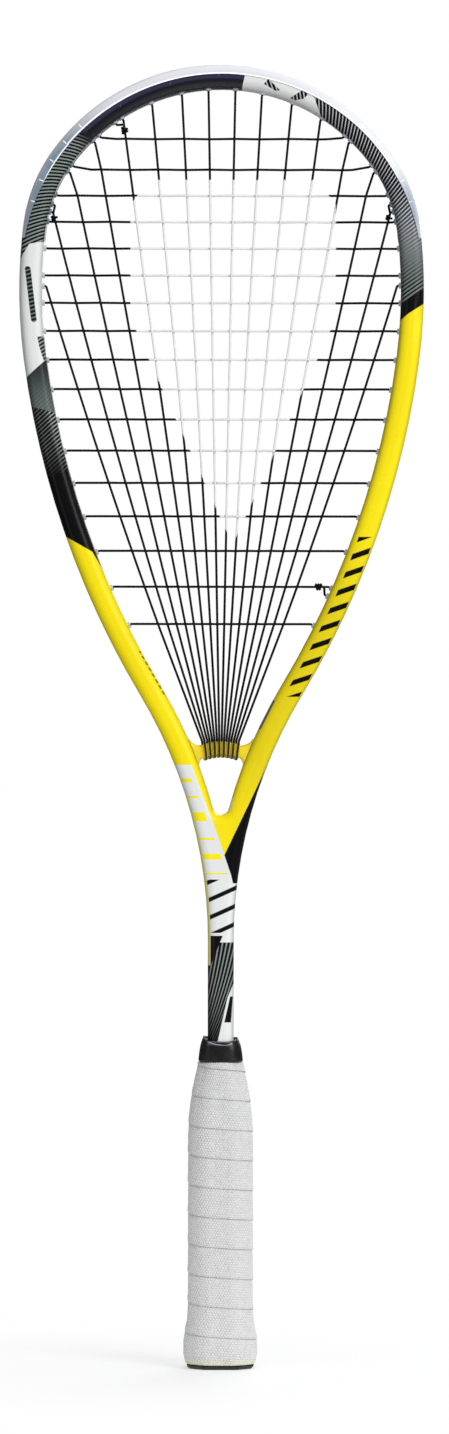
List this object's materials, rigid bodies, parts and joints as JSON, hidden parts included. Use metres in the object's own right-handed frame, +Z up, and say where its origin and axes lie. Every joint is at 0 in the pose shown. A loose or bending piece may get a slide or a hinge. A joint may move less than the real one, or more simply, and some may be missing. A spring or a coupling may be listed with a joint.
{
  "type": "squash racket",
  "caption": "Strung squash racket with a closed-throat teardrop head, a bridge in the throat, a clear head guard, a slim shaft and a wrapped octagonal grip with a sliding collar.",
  "frame": {"origin": "middle of the flat butt end of the handle", "axes": "+Z up the racket from the butt to the head, X across the string bed, Y through its thickness; the front of the string bed faces -Y"},
  "size_m": [0.2128, 0.0332, 0.6853],
  "materials": {
    "frame": "painted carbon: gloss yellow lower hoop and throat, black, white and grey-green bands on the head and shaft",
    "bridge": "gloss yellow paint on carbon",
    "guard": "clear, slightly milky nylon",
    "grommet": "white nylon",
    "string": "black twisted multifilament with a white stencil",
    "sleeve": "black soft nylon tube",
    "foam": "rigid moulded polyurethane foam",
    "cap": "black moulded plastic",
    "staple": "bright wire",
    "grip": "off-white cushioned synthetic grip with a fine embossed weave",
    "tape": "black adhesive tape",
    "collar": "black stretch rubber"
  },
  "bodies": {
    "racket": {"frame_moulding": "frame", "throat_bridge": "bridge", "bumper_guard": "guard", "left_grommet_strip": "grommet", "right_grommet_strip": "grommet", "main_string": "string", "cross_string": "string", "main_string_knots": "string", "cross_string_knots": "string", "bridge_string_sleeves": "sleeve", "handle_foam": "foam", "butt_cap": "cap", "butt_cap_staples": "staple", "grip_tape": "grip", "finishing_tape": "tape"},
    "collar": {"rubber_collar": "collar"}
  },
  "joints": [
    {"name": "collar_slide", "type": "slide", "parent": "racket", "child": "collar", "axis": [0, 0, 1], "range_m": [0, 0.05]}
  ]
}
